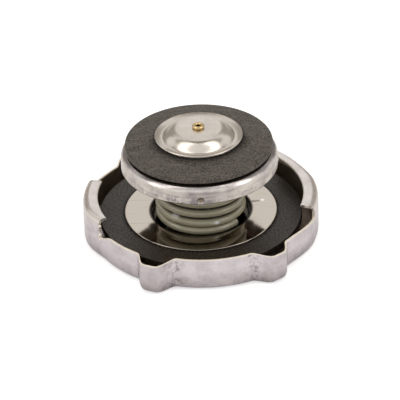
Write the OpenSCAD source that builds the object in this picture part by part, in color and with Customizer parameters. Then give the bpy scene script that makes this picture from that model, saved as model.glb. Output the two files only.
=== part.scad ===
// Radiator cap lying on its crown, with the valve stack standing up along +Z.
// The origin is on the ground, on the axis that the shell and the valves share.

/* [Shell] */
// Thickness of the shell's sheet
shell_t = 0.75; // [0.7:0.05:0.9]
// Height of the skirt's low rim above the ground
rim_h = 9.6; // [9:0.1:10.5]
// Height of the sunken crown's outside face above the ground
crown_rise = 4.1; // [3.6:0.05:4.3]
// Radius at which the crown turns down into its bead
crown_r = 26.6; // [26:0.1:27]
// Width of the wall that leads from the crown down to the ground
bead_w = 2.1; // [1.8:0.1:2.2]
// Outside radius of the rounded foot
foot_round = 2.4; // [2:0.1:2.6]

/* [Lobes] */
// Direction of the middle of the front wall, and half a turn on, of the back wall
front_turn = 276; // [272:0.5:280]
// Angle between the two grip lobes beside the front wall
grip_apart = 62.5; // [60:0.5:65]
// Radius at the four grip lobes
grip_r = 36.9; // [36:0.1:37.5]
// Half the angle of a grip lobe's crest
grip_half = 2.6; // [2:0.1:3.4]
// Angle over which a grip lobe falls to the walls beside it
grip_flank = 8.4; // [7:0.1:9]
// Direction of the middle of the right ear lobe, and half a turn on, of the left one
ear_turn = -4; // [-6:0.5:2]
// Radius at the two ear lobes
ear_r = 34.8; // [34.5:0.1:35.6]
// Half the angle of an ear lobe's crest
ear_half = 14; // [12:0.5:16]
// Angle over which an ear lobe falls to the walls beside it
ear_flank = 20; // [14:1:21]
// Foot radius of the front and back walls
front_r = 32.6; // [32.4:0.1:33]
// How far the front and back walls lean in at the rim
front_lean = 1.1; // [0.8:0.1:1.4]
// How far each of these walls swings out at one end and in at the other
front_swing = 0.6; // [0:0.1:0.8]
// Foot radii of the side walls: right front, right back, left back and left front
side_r = [33.5, 34.2, 34.4, 32.7]; // [32.5:0.1:34.5]
// How far the side walls lean in at the rim
side_lean = 0.2; // [0:0.1:0.5]

/* [Ears] */
// Height of the ears' top face above the ground
ear_h = 13.5; // [13:0.1:15]
// Radius of the ears' inner edge
ear_in_r = 30.4; // [29.8:0.1:30.5]
// Outside radius of the bend into the ears
ear_bend = 1.9; // [1.2:0.1:2.2]
// Directions of the right ear's two ends
right_ear = [-17, 44]; // [-20:1:50]
// Directions of the left ear's two ends
left_ear = [164, 204]; // [158:1:208]
// Depth of the relief cut in the rim at the left ear's second end
relief_h = 2.2; // [0.5:0.1:2.6]
// Angle over which the rim rises out of the relief cut
relief_w = 11; // [6:1:14]

/* [Gasket and disc] */
// Clearance of the top gasket inside the skirt's rim
gasket_gap = 0.15; // [0.1:0.05:1]
// Thickness of the top gasket
gasket_t = 2.4; // [2.2:0.1:3]
// Radius of the retaining disc
disc_r = 22.6; // [21.5:0.1:24]
// Thickness of the retaining disc's sheet
disc_t = 0.45; // [0.4:0.05:0.6]
// Clearance of the pressure spring in the disc's well
well_gap = 0.3; // [0.2:0.05:0.6]
// Width of the well's steep wall
well_slope = 1.2; // [1:0.1:1.3]
// Height of the rounded collar round the well
collar_h = 0.35; // [0.1:0.05:0.38]
// Width of the collar's outer slope
collar_w = 1.9; // [1.2:0.1:2.2]
// Distance of the gasket's bore from the collar
bore_gap = 0.5; // [0.3:0.1:1]
// Distance of the disc's pip from the axis
pip_at = 18.8; // [18.6:0.1:20.6]
// Direction of the disc's pip
pip_turn = 12; // [0:1:90]
// Radius of the disc's pip
pip_r = 1.3; // [0.8:0.1:1.6]
// Height of the disc's pip
pip_h = 0.4; // [0.3:0.1:0.6]

/* [Rivet] */
// Radius of the rivet's shank
rivet_r = 2.45; // [2:0.05:3]
// Radius of the rivet's outer head
rivet_head_r = 5; // [4:0.1:6]
// Height of the rivet's outer head
rivet_head_h = 1.2; // [0.8:0.1:1.6]
// Radius of the rivet's inner head
rivet_tail_r = 4; // [3.6:0.1:5]
// Height of the rivet's inner head
rivet_tail_h = 1.2; // [0.8:0.1:1.6]
// Radius of the swivel washer
washer_r = 9; // [7:0.5:12]
// Thickness of the swivel washer
washer_t = 0.8; // [0.6:0.1:1.2]

/* [Pressure valve] */
// Outside radius of the guide cup
guide_r = 8; // [7.6:0.1:8.6]
// Height of the guide cup
guide_h = 12; // [10:0.5:13]
// Thickness of the guide cup's sheet
guide_t = 0.6; // [0.5:0.05:0.8]
// Outside radius of the plunger's tube
plunger_r = 6; // [5.6:0.1:6.3]
// Thickness of the plunger's sheet
plunger_t = 0.6; // [0.5:0.05:0.8]
// Radius of the plunger's top flange
plunger_flange_r = 8.4; // [7.6:0.1:9]
// Radius of the side ports in the plunger's tube
side_port_r = 1.5; // [1:0.1:2]
// Depth of the side ports' axis under the valve cup's web
side_port_drop = 4.3; // [3:0.1:5]
// Outside radius of the pressure spring
spring_r = 13.5; // [13:0.1:13.8]
// Diameter of the pressure spring's wire
spring_wire = 2.5; // [2:0.1:2.6]
// Length of the fitted pressure spring
spring_len = 23.7; // [22.5:0.1:25]
// Turns of the pressure spring, with its two closed ends
spring_turns = 7; // [6:0.1:7.2]
// Direction of the pressure spring's lower wire end
spring_turn = -35; // [-90:1:90]
// Radius of the pressure seal
seal_r = 21.7; // [21:0.1:23]
// Radius of the pressure seal's bore
seal_bore_r = 8.7; // [7.8:0.1:9.6]
// Thickness of the pressure seal
seal_t = 2; // [1.6:0.1:2.4]
// Radius of the flat middle of the seal and the web under it
seat_r = 13.2; // [13:0.1:15]
// Drop of the seal from its flat middle to its edge
seal_drop = 1.15; // [0.8:0.05:1.6]
// Bevel on both corners of the seal's outer edge
seal_bevel = 0.4; // [0.1:0.05:0.5]
// Thickness of the valve cup's sheet
cup_t = 0.6; // [0.5:0.05:0.8]
// How far the valve cup falls away under the seal's edge
cup_fall = 0.7; // [0.1:0.05:0.9]
// How far the valve cup's skirt stands out beyond the seal
cup_over = 1.35; // [1:0.05:1.5]
// Width of the cup's rounded shoulder
shoulder_w = 2.05; // [1.6:0.05:2.2]
// Height of the cup's rounded shoulder
shoulder_h = 2.2; // [1.6:0.1:2.6]
// Height of the valve cup from its skirt's edge to its flat web
cup_h = 7; // [6:0.1:7.5]
// Radius of the ball that pressed the dent into the skirt
dent_r = 1.5; // [1.2:0.1:2]
// Depth of the dent
dent_h = 0.4; // [0.2:0.05:0.45]
// Height of the dent's middle above the skirt's edge
dent_rise = 1.1; // [0.9:0.1:1.8]

/* [Vacuum valve] */
// Radius of the vacuum dish's lip
dish_r = 12.9; // [12:0.1:13.5]
// Height of the lip above the dish's foot groove
dish_lip = 0.6; // [0.3:0.05:0.8]
// Radius of the dish's foot groove
dish_foot_r = 10.4; // [10:0.1:10.8]
// Radius at which the dish's shoulder meets its crown
dish_crown_r = 7.2; // [6:0.1:8]
// Height of the dish's shoulder
dish_shoulder_h = 2; // [1.4:0.05:2.2]
// Further rise of the dish's crown to its middle
dish_crown_h = 0.8; // [0.3:0.1:1]
// Thickness of the dish's sheet
dish_t = 0.5; // [0.4:0.05:0.6]
// Radius of the stem's body
stem_r = 1.4; // [1.3:0.05:1.6]
// Radius of the stem's neck in the dish
stem_neck_r = 1.15; // [1.05:0.05:1.25]
// Radius of the stem's rolled eyelet
eyelet_r = 1.8; // [1.6:0.1:2]
// Height of the stem's rolled eyelet
eyelet_h = 0.95; // [0.8:0.05:1.3]
// Radius of the stem's blind bore
stem_bore_r = 0.75; // [0.5:0.05:0.8]
// Depth of the stem's blind bore
stem_bore_h = 5; // [3:0.5:8]
// Radius of the stem's peened foot
stem_foot_r = 2; // [1.8:0.1:2.4]
// Height of the stem's peened foot
stem_foot_h = 0.8; // [0.6:0.1:1]
// Outside radius of the vacuum spring
light_r = 2.9; // [2.6:0.1:3.1]
// Diameter of the vacuum spring's wire
light_wire = 0.6; // [0.5:0.05:0.7]
// Length of the fitted vacuum spring
light_len = 6.8; // [6:0.1:7.5]
// Turns of the vacuum spring
light_turns = 5.5; // [4.5:0.5:6]
// Radius of the spring retainer
retainer_r = 3.8; // [3.4:0.1:4.4]
// Thickness of the spring retainer
retainer_t = 0.8; // [0.6:0.1:1]
// Radius of the air ports in the plunger's top
port_r = 0.9; // [0.6:0.05:1]
// Number of air ports in the plunger's top
port_count = 4; // [3:1:5]

/* [Clearances] */
// Clearance of pieces that turn or slide in one another
run_gap = 0.05; // [0.02:0.01:0.1]
// Clearance of pieces that are pressed together
fit_gap = 0.02; // [0.01:0.01:0.05]
// Clearance of the plunger's lower flange in the guide cup
flange_gap = 0.1; // [0.05:0.01:0.15]

/* [Hidden] */
$fn = 96;

// Heights of the stack, from the crown upward
crown_in = crown_rise + shell_t;
gasket_top = crown_in + gasket_t;
disc_top = gasket_top + disc_t;
washer_top = crown_in + washer_t;
well_top = washer_top + disc_t;
guide_top = well_top + guide_h;
flange_top = guide_top - guide_t - run_gap;
web_under = well_top + spring_len;
web_top = web_under + cup_t;
seal_top = web_top + seal_t;
cup_foot = web_top - cup_h;
dish_top = seal_top + dish_t + dish_shoulder_h + dish_crown_h;
retainer_top = web_top - light_len;
stem_foot = retainer_top - retainer_t - stem_foot_h;

// Radii that mating pieces share
well_r = spring_r + well_gap;
collar_r = well_r + well_slope;
gasket_in_r = collar_r + collar_w + bore_gap;
gasket_r = min(front_r - front_lean - front_swing, min(side_r) - side_lean) - shell_t - gasket_gap;
guide_bore_r = guide_r - guide_t;
plunger_bore_r = plunger_r - plunger_t;
cup_r = seal_r + cup_over;
shoulder_r = cup_r - shoulder_w;
shank_hole_r = rivet_r + fit_gap;

// Numbers of steps in curved outlines, and a margin that carries a cut through a face
fillet_steps = 3;
curve_steps = 12;
past = 1;
edge_round = 0.3;

// Share from 0 to 1 of a smooth step
function smooth(t) = t <= 0 ? 0 : t >= 1 ? 1 : t * t * (3 - 2 * t);

// Points of an arc about a centre, from one angle to another
function arc(centre, r, from, to, steps) = [
    for (i = [0:steps]) centre + r * [cos(from + (to - from) * i / steps), sin(from + (to - from) * i / steps)]
];

// Angles in even steps from one end up to, but not on, the other
function spread(from, to, steps) = [for (i = [0:steps - 1]) from + (to - from) * i / steps];

// The skirt has six lobes: two carry the ears, and the other four are grips. They repeat after half a turn.
function half_turn(a) = a - 180 * floor(a / 180 + 0.5);
function past_front(a) = half_turn(a - front_turn);
function past_ear(a) = abs(half_turn(a - ear_turn));
function past_grip(a) = abs(abs(past_front(a)) - grip_apart / 2);
function by_front(a) = abs(past_front(a)) < grip_apart / 2;
function side_at(a) = cos(a - front_turn) > 0
    ? (cos(a - ear_turn) > 0 ? side_r[0] : side_r[3])
    : (cos(a - ear_turn) > 0 ? side_r[1] : side_r[2]);
function wall_at(a, lean) = by_front(a)
    ? front_r - lean * front_lean + front_swing * past_front(a) / (grip_apart / 2)
    : side_at(a) - lean * side_lean;
function ear_share(a) = 1 - smooth((past_ear(a) - ear_half) / ear_flank);
function grip_share(a) = 1 - smooth((past_grip(a) - grip_half) / grip_flank);
// Radius of the skirt's outside in one direction, with lean 0 at the foot and 1 at the rim
function skirt_r(a, lean) = let (wall = wall_at(a, lean))
    wall + (ear_r - wall) * ear_share(a) + (grip_r - wall) * grip_share(a);
// Height of the skirt's rim in one direction
function rim_at(a) = rim_h - relief_h * (1 - smooth(abs(a - left_ear[1]) / relief_w));

// Outside of the sheet from the crown's edge to the rim, and the inside back to the crown's edge
bead_round = shell_t;
function sheet_outside(a) = concat(
    arc([crown_r, crown_rise - bead_round], bead_round, 90, 10, fillet_steps),
    arc([crown_r + bead_w, bead_round], bead_round, 190, 270, fillet_steps),
    arc([skirt_r(a, 0) - foot_round, foot_round], foot_round, -90, 0, fillet_steps),
    [[skirt_r(a, 1), rim_at(a)]]
);
function sheet_inside(a) = concat(
    [[skirt_r(a, 1) - shell_t, rim_at(a)]],
    arc([skirt_r(a, 0) - foot_round, foot_round], foot_round - shell_t, 0, -90, fillet_steps),
    [[crown_r + bead_w + shell_t / 2, shell_t]],
    arc([crown_r, crown_rise - bead_round], bead_round + shell_t, 10, 90, fillet_steps)
);
// Outside of an ear's sheet above the rim, and its inside
function ear_outside(a) = concat(
    arc([skirt_r(a, 1) - ear_bend, ear_h - ear_bend], ear_bend, 0, 90, fillet_steps),
    [[ear_in_r, ear_h]]
);
function ear_inside(a) = concat(
    arc([skirt_r(a, 1) - ear_bend, ear_h - ear_bend], ear_bend - shell_t, 0, 90, fillet_steps),
    [[ear_in_r, ear_h - shell_t]]
);
function turned(p, a) = [p[0] * cos(a), p[0] * sin(a), p[1]];

// The shell is one stamping: its section is carried round the axis, and the ears' sections stand on the rim.
ear_step = 2.5;
skirt_step = 1.85;
right_n = ceil((right_ear[1] - right_ear[0]) / ear_step);
back_n = ceil((left_ear[0] - right_ear[1]) / skirt_step);
left_n = ceil((left_ear[1] - left_ear[0]) / ear_step);
front_n = ceil((right_ear[0] + 360 - left_ear[1]) / skirt_step);
station_angles = concat(
    spread(right_ear[0], right_ear[1], right_n), spread(right_ear[1], left_ear[0], back_n),
    spread(left_ear[0], left_ear[1], left_n), spread(left_ear[1], right_ear[0] + 360, front_n)
);
left_at = right_n + back_n;

module shell_sheet() {
    n = len(station_angles);
    out_n = len(sheet_outside(0));
    loop_n = out_n + len(sheet_inside(0));
    ear_n = len(ear_outside(0));
    ear_angles = [
        for (i = [0:right_n]) station_angles[i],
        for (i = [left_at:left_at + left_n]) station_angles[i]
    ];
    points = concat(
        [for (a = station_angles) for (p = concat(sheet_outside(a), sheet_inside(a))) turned(p, a)],
        [for (a = ear_angles) for (p = concat(ear_outside(a), ear_inside(a))) turned(p, a)],
        [[0, 0, crown_rise], [0, 0, crown_in]]
    );
    under_hub = len(points) - 2;
    in_hub = len(points) - 1;
    function sheet(i, j) = (i % n) * loop_n + j;
    // Point j of ear station e counts from the rim: 0 is on the rim itself
    function ear_out(e, j) = j == 0
        ? sheet(e <= right_n ? e : left_at + e - right_n - 1, out_n - 1) : n * loop_n + e * 2 * ear_n + j - 1;
    function ear_in(e, j) = j == 0
        ? sheet(e <= right_n ? e : left_at + e - right_n - 1, out_n) : n * loop_n + e * 2 * ear_n + ear_n + j - 1;
    function has_ear(i) = i < right_n || (i >= left_at && i < left_at + left_n);
    ear_cells = [for (e = [0:len(ear_angles) - 2]) if (e != right_n) e];
    faces = concat(
        [for (i = [0:n - 1]) for (j = [0:loop_n - 2]) if (j != out_n - 1 || !has_ear(i))
            [sheet(i, j), sheet(i, j + 1), sheet(i + 1, j + 1), sheet(i + 1, j)]],
        [for (i = [0:n - 1]) [under_hub, sheet(i, 0), sheet(i + 1, 0)]],
        [for (i = [0:n - 1]) [in_hub, sheet(i + 1, loop_n - 1), sheet(i, loop_n - 1)]],
        [for (e = ear_cells) for (j = [0:ear_n - 1])
            [ear_out(e, j), ear_out(e, j + 1), ear_out(e + 1, j + 1), ear_out(e + 1, j)]],
        [for (e = ear_cells) for (j = [0:ear_n - 1])
            [ear_in(e, j), ear_in(e + 1, j), ear_in(e + 1, j + 1), ear_in(e, j + 1)]],
        [for (e = ear_cells) [ear_out(e, ear_n), ear_in(e, ear_n), ear_in(e + 1, ear_n), ear_out(e + 1, ear_n)]],
        [for (e = [0, right_n + 1]) for (j = [0:ear_n - 1])
            [ear_out(e, j), ear_in(e, j), ear_in(e, j + 1), ear_out(e, j + 1)]],
        [for (e = [right_n, len(ear_angles) - 1]) for (j = [0:ear_n - 1])
            [ear_out(e, j), ear_out(e, j + 1), ear_in(e, j + 1), ear_in(e, j)]]
    );
    polyhedron(points, faces, convexity = 8);
}

module outer_shell() {
    color("lightgray")
    difference() {
        shell_sheet();
        translate([0, 0, crown_rise - past]) cylinder(r = rivet_r + run_gap, h = shell_t + 2 * past);
    }
}

module top_gasket() {
    color("#33302c")
    rotate_extrude() polygon([
        [gasket_in_r, crown_in], [gasket_r - edge_round, crown_in], [gasket_r, crown_in + edge_round],
        [gasket_r, gasket_top - edge_round], [gasket_r - edge_round, gasket_top], [gasket_in_r, gasket_top]
    ]);
}

// Height of the disc's top face: it rises steeply out of the well to a rounded collar, then falls to the flat
function disc_face(r) = r < collar_r
    ? well_top + (disc_top + collar_h - well_top) * smooth((r - well_r) / well_slope)
    : disc_top + collar_h * (1 - smooth((r - collar_r) / collar_w));

module retaining_disc() {
    steep = [for (i = [0:curve_steps]) well_r + well_slope * i / curve_steps];
    gentle = [for (i = [1:curve_steps]) collar_r + collar_w * i / curve_steps];
    pip_ball_r = (pip_r * pip_r + pip_h * pip_h) / (2 * pip_h);
    color("silver")
    union() {
        rotate_extrude() polygon(concat(
            [[shank_hole_r, well_top]],
            [for (r = concat(steep, gentle)) [r, disc_face(r)]],
            [[disc_r, disc_top], [disc_r, disc_top - disc_t]],
            [for (i = [curve_steps - 1:-1:0]) if (gentle[i] > collar_r + disc_t)
                [gentle[i], disc_face(gentle[i]) - disc_t]],
            [for (i = [curve_steps:-1:0]) [steep[i] + disc_t, disc_face(steep[i]) - disc_t]],
            [[shank_hole_r, well_top - disc_t]]
        ));
        rotate([0, 0, pip_turn]) translate([pip_at, 0, 0])
            intersection() {
                translate([0, 0, disc_top + pip_h - pip_ball_r]) sphere(r = pip_ball_r);
                translate([0, 0, disc_top - disc_t / 2]) cylinder(r = pip_r + past, h = pip_h + disc_t);
            }
    }
}

module swivel_washer() {
    color("gray")
    translate([0, 0, crown_in])
        difference() {
            cylinder(r = washer_r, h = washer_t);
            translate([0, 0, -past]) cylinder(r = shank_hole_r, h = washer_t + 2 * past);
        }
}

module centre_rivet() {
    head_top = crown_rise - run_gap;
    tail_foot = well_top + guide_t;
    color("darkgray")
    rotate_extrude() polygon(concat(
        [[0, head_top - rivet_head_h]],
        arc([rivet_head_r - rivet_head_h, head_top], rivet_head_h, -90, 0, curve_steps),
        [[rivet_r, head_top], [rivet_r, tail_foot]],
        arc([rivet_tail_r - rivet_tail_h, tail_foot], rivet_tail_h, 0, 90, curve_steps),
        [[0, tail_foot + rivet_tail_h]]
    ));
}

module guide_cup() {
    color("gainsboro")
    rotate_extrude() polygon(concat(
        [[shank_hole_r, well_top]],
        arc([guide_r - 2 * guide_t, well_top + 2 * guide_t], 2 * guide_t, -90, 0, fillet_steps),
        arc([guide_r - 2 * guide_t, guide_top - 2 * guide_t], 2 * guide_t, 0, 90, fillet_steps),
        [[plunger_r + run_gap, guide_top], [plunger_r + run_gap, guide_top - guide_t]],
        [[guide_bore_r, guide_top - guide_t]],
        arc([guide_r - 2 * guide_t, well_top + 2 * guide_t], guide_t, 0, -90, fillet_steps),
        [[shank_hole_r, well_top + guide_t]]
    ));
}

// A left-hand coil of round wire that stands on a foot height. Its end turns lie close, one wire apart.
module coil(r, wire, length, turns, start, foot, closed, steps, sides) {
    mid_r = r - wire / 2;
    rise = length - wire;
    close_rise = wire * 1.03;
    open_rise = (rise - 2 * closed * close_rise) / (turns - 2 * closed);
    function coil_z(t) = foot + wire / 2 + close_rise * min(t, closed)
        + open_rise * max(0, min(t, turns - closed) - closed) + close_rise * max(0, t - turns + closed);
    rings = ceil(turns * steps);
    points = [
        for (i = [0:rings])
            let (t = turns * i / rings, a = start - 360 * t, tilt = atan(open_rise / (2 * PI * mid_r)))
            for (j = [0:sides - 1])
                let (b = 360 * j / sides, out = mid_r + wire / 2 * cos(b), up = wire / 2 * sin(b))
                [
                    out * cos(a) - up * sin(tilt) * sin(a),
                    out * sin(a) + up * sin(tilt) * cos(a),
                    coil_z(t) + up * cos(tilt)
                ]
    ];
    faces = concat(
        [for (i = [0:rings - 1]) for (j = [0:sides - 1])
            [i * sides + j, (i + 1) * sides + j, (i + 1) * sides + (j + 1) % sides, i * sides + (j + 1) % sides]],
        [[for (j = [0:sides - 1]) j]],
        [[for (j = [sides - 1:-1:0]) rings * sides + j]]
    );
    polyhedron(points, faces, convexity = 10);
}

module pressure_spring() {
    color("#8d8d7c")
    coil(spring_r, spring_wire, spring_len, spring_turns, spring_turn, well_top, 1, 26, 10);
}

// Height of the seal's underside: flat on the cup's web in the middle, then a cone down to the edge
function seat_z(r) = web_top - seal_drop * max(0, r - seat_r) / (seal_r - seat_r);

module valve_cup() {
    wall_in_r = cup_r - cup_t;
    shoulder_z = seat_z(shoulder_r) - cup_fall - shoulder_h;
    quarter = arc([0, 0], 1, 0, 90, curve_steps);
    color("lightsteelblue")
    difference() {
        rotate_extrude() polygon(concat(
            [[wall_in_r, cup_foot], [cup_r, cup_foot]],
            [for (p = quarter) [shoulder_r + shoulder_w * p[0], shoulder_z + shoulder_h * p[1]]],
            [[seat_r, web_top], [plunger_r + fit_gap, web_top]],
            [[plunger_r + fit_gap, web_under], [seat_r, web_under]],
            [for (i = [curve_steps:-1:0]) [
                shoulder_r + (shoulder_w - cup_t) * quarter[i][0],
                shoulder_z + (shoulder_h - cup_t) * quarter[i][1]
            ]]
        ));
        translate([0, -cup_r - dent_r + dent_h, cup_foot + dent_rise]) sphere(r = dent_r);
    }
}

module valve_plunger() {
    lower_flange_r = guide_bore_r - flange_gap;
    flange_foot = flange_top - plunger_t;
    port_at = (plunger_bore_r + light_r) / 2;
    color("gainsboro")
    difference() {
        rotate_extrude() polygon([
            [stem_r + run_gap, web_top], [plunger_bore_r, web_top], [plunger_bore_r, flange_foot],
            [lower_flange_r, flange_foot], [lower_flange_r, flange_top], [plunger_r, flange_top],
            [plunger_r, web_top], [plunger_flange_r, web_top], [plunger_flange_r, web_top + plunger_t],
            [stem_r + run_gap, web_top + plunger_t]
        ]);
        for (i = [0:port_count - 1])
            rotate([0, 0, 360 * i / port_count]) translate([port_at, 0, web_top - past])
                cylinder(r = port_r, h = plunger_t + 2 * past);
        translate([0, 0, web_under - side_port_drop]) rotate([0, 90, 0])
            cylinder(r = side_port_r, h = 2 * plunger_r + 2 * past, center = true);
    }
}

module pressure_seal() {
    edge_z = seat_z(seal_r);
    color("#3d3a38")
    rotate_extrude() polygon([
        [seal_bore_r, web_top], [seat_r, web_top], [seal_r - seal_bevel, seat_z(seal_r - seal_bevel)],
        [seal_r, edge_z + seal_bevel], [seal_r, edge_z + seal_t - seal_bevel],
        [seal_r - seal_bevel, seat_z(seal_r - seal_bevel) + seal_t], [seat_r, seal_top], [seal_bore_r, seal_top]
    ]);
}

// Height of the dish's top face: a low crown, a rounded shoulder, a foot groove and a raised lip
function dish_face(r) = seal_top + dish_t + (r > dish_foot_r
    ? dish_lip * pow((r - dish_foot_r) / (dish_r - dish_foot_r), 1.5)
    : dish_shoulder_h * smooth((dish_foot_r - r) / (dish_foot_r - dish_crown_r))
        + dish_crown_h * (1 - pow(r / dish_foot_r, 2)));

module vacuum_dish() {
    neck_r = stem_neck_r + fit_gap;
    steps = 4 * curve_steps;
    radii = [for (i = [0:steps]) neck_r + (dish_r - neck_r) * i / steps];
    color("whitesmoke")
    rotate_extrude() polygon(concat(
        [for (r = radii) [r, dish_face(r)]],
        [for (i = [steps:-1:0]) [radii[i], dish_face(radii[i]) - dish_t]]
    ));
}

module vacuum_stem() {
    neck_r = stem_neck_r + fit_gap;
    seat = dish_face(neck_r);
    eyelet_top = seat + eyelet_h;
    roll = eyelet_h / 2;
    color("goldenrod")
    rotate_extrude() polygon(concat(
        [[0, stem_foot], [stem_foot_r, stem_foot], [stem_foot_r, stem_foot + stem_foot_h]],
        [[stem_r, stem_foot + stem_foot_h], [stem_r, seat - dish_t], [stem_neck_r, seat - dish_t]],
        [[stem_neck_r, seat]],
        arc([eyelet_r - roll, seat + roll], roll, -90, 90, curve_steps),
        arc([stem_bore_r + roll, seat + roll], roll, 90, 180, curve_steps / 2),
        [[stem_bore_r, eyelet_top - stem_bore_h], [0, eyelet_top - stem_bore_h]]
    ));
}

module vacuum_spring() {
    color("silver")
    coil(light_r, light_wire, light_len, light_turns, 0, retainer_top, 0.8, 14, 6);
}

module spring_retainer() {
    color("darkgoldenrod")
    translate([0, 0, retainer_top - retainer_t])
        difference() {
            cylinder(r = retainer_r, h = retainer_t);
            translate([0, 0, -past]) cylinder(r = stem_r + fit_gap, h = retainer_t + 2 * past);
        }
}

outer_shell();
top_gasket();
retaining_disc();
swivel_washer();
centre_rivet();
guide_cup();
pressure_spring();
valve_cup();
valve_plunger();
pressure_seal();
vacuum_dish();
vacuum_stem();
vacuum_spring();
spring_retainer();
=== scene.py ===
import math

import bmesh
import bpy
import numpy as np
from bpy.props import FloatProperty, FloatVectorProperty, IntProperty, PointerProperty
from mathutils import Matrix, Vector


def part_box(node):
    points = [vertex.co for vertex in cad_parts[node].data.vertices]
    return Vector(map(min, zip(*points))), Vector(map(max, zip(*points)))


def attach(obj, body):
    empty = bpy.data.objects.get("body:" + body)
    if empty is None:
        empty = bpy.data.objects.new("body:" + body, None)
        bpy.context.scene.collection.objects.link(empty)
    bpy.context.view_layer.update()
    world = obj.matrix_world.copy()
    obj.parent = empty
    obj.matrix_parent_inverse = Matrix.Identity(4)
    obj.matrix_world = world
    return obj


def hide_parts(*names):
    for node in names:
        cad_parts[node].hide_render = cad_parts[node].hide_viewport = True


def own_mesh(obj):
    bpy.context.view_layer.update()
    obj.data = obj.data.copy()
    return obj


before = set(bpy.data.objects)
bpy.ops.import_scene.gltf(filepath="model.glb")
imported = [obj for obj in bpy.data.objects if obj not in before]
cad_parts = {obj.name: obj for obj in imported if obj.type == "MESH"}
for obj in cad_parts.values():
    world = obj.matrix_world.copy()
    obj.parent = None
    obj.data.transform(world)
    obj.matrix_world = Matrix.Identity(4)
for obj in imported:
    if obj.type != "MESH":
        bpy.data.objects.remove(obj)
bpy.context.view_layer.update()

# A radiator cap that lies on its crown with its valves upward.
# Every piece is a formula over whole numpy arrays, in metres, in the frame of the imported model.

bl_info = {
    "name": "Radiator cap",
    "version": (1, 0, 0),
    "blender": (4, 5, 0),
    "location": "3D View > Sidebar > Radiator cap",
    "description": "Builds the stamped shell, the valve stack and the studio of a radiator cap",
    "category": "Object",
}

MM = 0.001
WHITE = (1, 1, 1, 1)
MATT = {"Roughness": 0.9, "Specular_IOR_Level": 0}


def top_of(node):
    """Height of a node's highest point."""
    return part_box(node)[1][2]


def foot_of(node):
    """Height of a node's lowest point."""
    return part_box(node)[0][2]


def reach_of(node):
    """Radius of a round node about the cap's axis."""
    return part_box(node)[1][0]


def length(name, description, default):
    """A size in metres that the sidebar shows in the scene's units."""
    return FloatProperty(name=name, description=description, default=default, unit="LENGTH", precision=5)


def turn(name, description, default):
    """A direction about the cap's axis, written in degrees."""
    return FloatProperty(name=name, description=description, default=math.radians(default), subtype="ANGLE")


def srgb(code):
    """An sRGB hex colour as linear red, green and blue, by the sRGB curve."""
    shown = np.array([int(code[i:i + 2], 16) for i in (0, 2, 4)]) / 255
    linear = np.where(shown <= 0.04045, shown / 12.92, ((shown + 0.055) / 1.055) ** 2.4)
    return tuple(float(c) for c in linear)


def colour(name, description, code):
    """A colour that the sidebar shows, from its hex code."""
    return FloatVectorProperty(name=name, description=description, default=srgb(code), subtype="COLOR",
                               size=3, min=0, max=1)


class ShellSizes(bpy.types.PropertyGroup):
    """Sizes of the stamped shell."""

    sheet: length("Sheet", "Thickness of the shell's sheet", 0.75 * MM)
    rim: length("Rim", "Height of the skirt's low rim", 9.6 * MM)
    crown_rise: length("Crown", "Height of the sunken crown's outside face", 4.1 * MM)
    crown: length("Crown radius", "Radius at which the crown turns down into its bead", 26.6 * MM)
    bead: length("Bead width", "Width of the wall that leads from the crown to the ground", 2.1 * MM)
    foot: length("Foot", "Outside radius of the rounded foot", 2.4 * MM)
    grip: length("Grip radius", "Radius at the four grip lobes", 36.9 * MM)
    ear: length("Ear radius", "Radius at the two ear lobes", reach_of("outer_shell") - 0.01 * MM)
    front: length("Front wall", "Foot radius of the front and back walls", 32.6 * MM)
    front_lean: length("Front lean", "How far the front and back walls lean in at the rim", 1.1 * MM)
    front_swing: length("Front swing", "How far the front wall swings out at its right end", 0.6 * MM)
    sides: FloatVectorProperty(
        name="Side walls", description="Foot radii: right front, right back, left back, left front", size=4,
        default=(33.5 * MM, 34.2 * MM, 34.4 * MM, 32.7 * MM), unit="LENGTH", precision=5)
    side_lean: length("Side lean", "How far the side walls lean in at the rim", 0.2 * MM)
    ear_top: length("Ear height", "Height of the ears' top face", top_of("outer_shell"))
    ear_edge: length("Ear edge", "Radius of the ears' inner edge", 30.4 * MM)
    ear_bend: length("Ear bend", "Outside radius of the bend into the ears", 1.9 * MM)
    front_turn: turn("Front turn", "Direction of the middle of the front wall", 276)
    grip_apart: turn("Grips apart", "Angle between the grip lobes beside the front wall", 62.5)
    grip_half: turn("Grip crest", "Half the angle of a grip lobe's crest", 2.6)
    grip_flank: turn("Grip flank", "Angle over which a grip lobe falls to its walls", 8.4)
    ear_turn: turn("Ear turn", "Direction of the middle of the right ear lobe", -4)
    ear_half: turn("Ear crest", "Half the angle of an ear lobe's crest", 14)
    ear_flank: turn("Ear flank", "Angle over which an ear lobe falls to its walls", 20)
    right_from: turn("Right ear start", "Direction of the right ear's front end", -17)
    right_to: turn("Right ear end", "Direction of the right ear's back end", 44)
    left_from: turn("Left ear start", "Direction of the left ear's back end", 164)
    left_to: turn("Left ear end", "Direction of the left ear's front end", 204)
    relief: length("Relief", "Depth of the relief cut in the rim at the left ear's front end", 2.2 * MM)
    relief_turn: turn("Relief width", "Angle over which the rim rises out of the relief cut", 11)
    edge: length("Cut edge", "Rounding of the sheet's cut edges", 0.22 * MM)
    rivet_hole: length("Rivet hole", "Radius of the rivet's hole in the crown", 2.5 * MM)
    ripple: length("Ear ripple", "Depth of the press marks on the ears", 0.05 * MM)
    tear: length("Tear", "How far the torn end of the left ear juts out", 0.7 * MM)


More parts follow.
